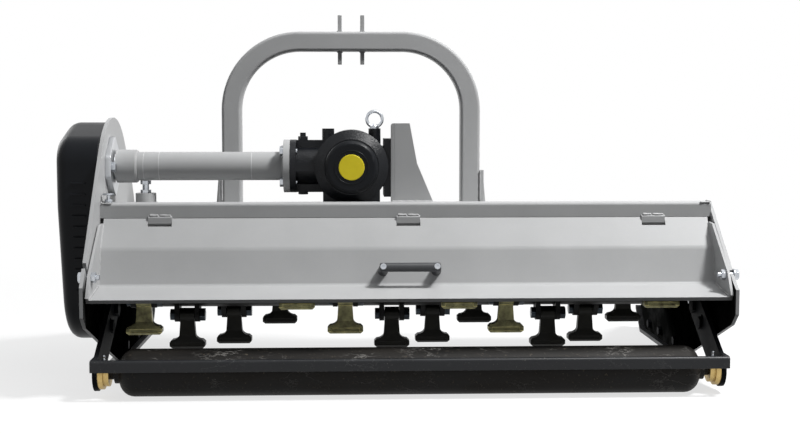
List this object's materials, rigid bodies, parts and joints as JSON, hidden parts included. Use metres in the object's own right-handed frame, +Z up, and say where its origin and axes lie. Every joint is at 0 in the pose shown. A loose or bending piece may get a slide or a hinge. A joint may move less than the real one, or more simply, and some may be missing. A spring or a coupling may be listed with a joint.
{
  "type": "flail mower",
  "caption": "Rear-mounted flail mower with swinging hammers on a belt-driven rotor, a lifting tailgate, a rear ground roller, a right-angle gearbox and a three-point hitch arch.",
  "frame": {"origin": "ground level, at the middle of the whole part's box", "axes": "+X to the right seen from behind, +Y the direction of travel, +Z up"},
  "size_m": [1.598, 0.9614, 0.886],
  "materials": {
    "paint": "satin light grey paint",
    "black_paint": "satin black paint, scuffed",
    "drum_paint": "black paint dulled by dust",
    "cast_black": "semi-gloss black over a cast surface",
    "cover_black": "smooth satin black",
    "guard_plastic": "moulded black plastic",
    "zinc": "bright zinc plate",
    "handle_grey": "dark grey moulding",
    "yellow_disc": "plain yellow",
    "belt_rubber": "matt rubber",
    "bare_steel": "machined steel",
    "bearing_brass": "yellow passivated",
    "hammer_gold": "olive yellow passivated forging"
  },
  "bodies": {
    "housing": {"side_plate_left": "paint", "side_plate_right": "paint", "top_deck": "paint", "rear_beam": "paint", "hinge_straps": "paint", "hitch_arch": "paint", "top_link_lugs": "paint", "arch_gussets": "paint", "lower_link_brackets": "paint", "gearbox_bracket": "paint", "drive_tube": "paint", "shaft_bearing": "paint", "tension_boss": "paint", "skids": "black_paint", "gearbox_housing": "cast_black", "gearbox_rear_cover": "cast_black", "rotor_bearings": "cast_black", "belt_cover": "cover_black", "pto_guard": "guard_plastic", "eyebolt": "zinc", "gearbox_plugs": "zinc", "gearbox_bolts": "zinc", "jack_bolt": "zinc", "skid_bolts": "zinc", "bearing_bolts": "zinc", "roller_bolts": "zinc", "flap_rod": "zinc", "lower_link_pins": "zinc", "oil_level_disc": "yellow_disc", "drive_belts": "belt_rubber", "gearbox_bearings": "bare_steel"},
    "tailgate": {"tailgate_panel": "paint", "tailgate_ends": "paint", "hinge_pins": "zinc", "handle": "handle_grey", "handle_screws": "zinc", "gate_bolts": "zinc"},
    "rotor": {"rotor_tube": "black_paint", "rotor_lugs": "black_paint", "hammer_bolts": "zinc", "rotor_pulley": "bare_steel"},
    "drive_shaft": {"output_shaft": "bare_steel", "drive_pulley": "bare_steel", "pinion_gear": "bare_steel"},
    "input_shaft": {"input_shaft": "bare_steel", "crown_gear": "bare_steel"},
    "roller_frame": {"roller_arms": "black_paint", "cross_bar": "black_paint", "roller_bearings": "bearing_brass"},
    "roller": {"roller_drum": "drum_paint"},
    "flaps": {"front_flaps": "paint"},
    "row_1": {"hammers_row_1": "hammer_gold"},
    "row_2": {"hammers_row_2": "hammer_gold"},
    "row_3": {"hammers_row_3": "hammer_gold"},
    "row_4": {"hammers_row_4": "hammer_gold"},
    "row_5": {"hammers_row_5": "hammer_gold"},
    "row_6": {"hammers_row_6": "hammer_gold"},
    "row_7": {"hammers_row_7": "hammer_gold"},
    "row_8": {"hammers_row_8": "hammer_gold"}
  },
  "joints": [
    {"name": "tailgate_hinge", "type": "hinge", "parent": "housing", "child": "tailgate", "pos_m": [0.034, -0.24653, 0.37693], "axis": [-1, 0, 0], "range_deg": [0, 75]},
    {"name": "rotor_spin", "type": "hinge", "parent": "housing", "child": "rotor", "pos_m": [0.034, -0.05425, 0.208], "axis": [1, 0, 0], "continuous": true},
    {"name": "drive_spin", "type": "hinge", "parent": "housing", "child": "drive_shaft", "pos_m": [-0.1, -0.10925, 0.506], "axis": [1, 0, 0], "continuous": true},
    {"name": "input_spin", "type": "hinge", "parent": "housing", "child": "input_shaft", "pos_m": [-0.1, -0.10925, 0.506], "axis": [0, 1, 0], "continuous": true},
    {"name": "roller_height", "type": "hinge", "parent": "housing", "child": "roller_frame", "pos_m": [0.034, -0.20925, 0.17], "axis": [-1, 0, 0], "range_deg": [-12, 0]},
    {"name": "roller_spin", "type": "hinge", "parent": "roller_frame", "child": "roller", "pos_m": [0.034, -0.41425, 0.0535], "axis": [1, 0, 0], "continuous": true},
    {"name": "flap_swing", "type": "hinge", "parent": "housing", "child": "flaps", "pos_m": [0.034, 0.19575, 0.297], "axis": [-1, 0, 0], "range_deg": [0, 25]},
    {"name": "hammer_swing_1", "type": "hinge", "parent": "rotor", "child": "row_1", "pos_m": [0.034, -0.12664, 0.17637], "axis": [-1, 0, 0], "range_deg": [-41.6, 174.4]},
    {"name": "hammer_swing_2", "type": "hinge", "parent": "rotor", "child": "row_2", "pos_m": [0.034, -0.08307, 0.13445], "axis": [-1, 0, 0], "range_deg": [-86.6, 129.4]},
    {"name": "hammer_swing_3", "type": "hinge", "parent": "rotor", "child": "row_3", "pos_m": [0.034, -0.02262, 0.13561], "axis": [-1, 0, 0], "range_deg": [-131.6, 84.4]},
    {"name": "hammer_swing_4", "type": "hinge", "parent": "rotor", "child": "row_4", "pos_m": [0.034, 0.0193, 0.17918], "axis": [-1, 0, 0], "range_deg": [-176.6, 39.4]},
    {"name": "hammer_swing_5", "type": "hinge", "parent": "rotor", "child": "row_5", "pos_m": [0.034, -0.1278, 0.23683], "axis": [-1, 0, 0], "range_deg": [0, 216]},
    {"name": "hammer_swing_6", "type": "hinge", "parent": "rotor", "child": "row_6", "pos_m": [0.034, 0.01814, 0.23963], "axis": [-1, 0, 0], "range_deg": [-216, 0]},
    {"name": "hammer_swing_7", "type": "hinge", "parent": "rotor", "child": "row_7", "pos_m": [0.034, -0.02542, 0.28155], "axis": [-1, 0, 0], "range_deg": [-216, 0]},
    {"name": "hammer_swing_8", "type": "hinge", "parent": "rotor", "child": "row_8", "pos_m": [0.034, -0.08588, 0.28039], "axis": [-1, 0, 0], "range_deg": [0, 216]}
  ],
  "couplings": [
    {"joint": "drive_spin", "follows": "rotor_spin", "ratio": 0.76471},
    {"joint": "input_spin", "follows": "rotor_spin", "ratio": 0.2549}
  ]
}
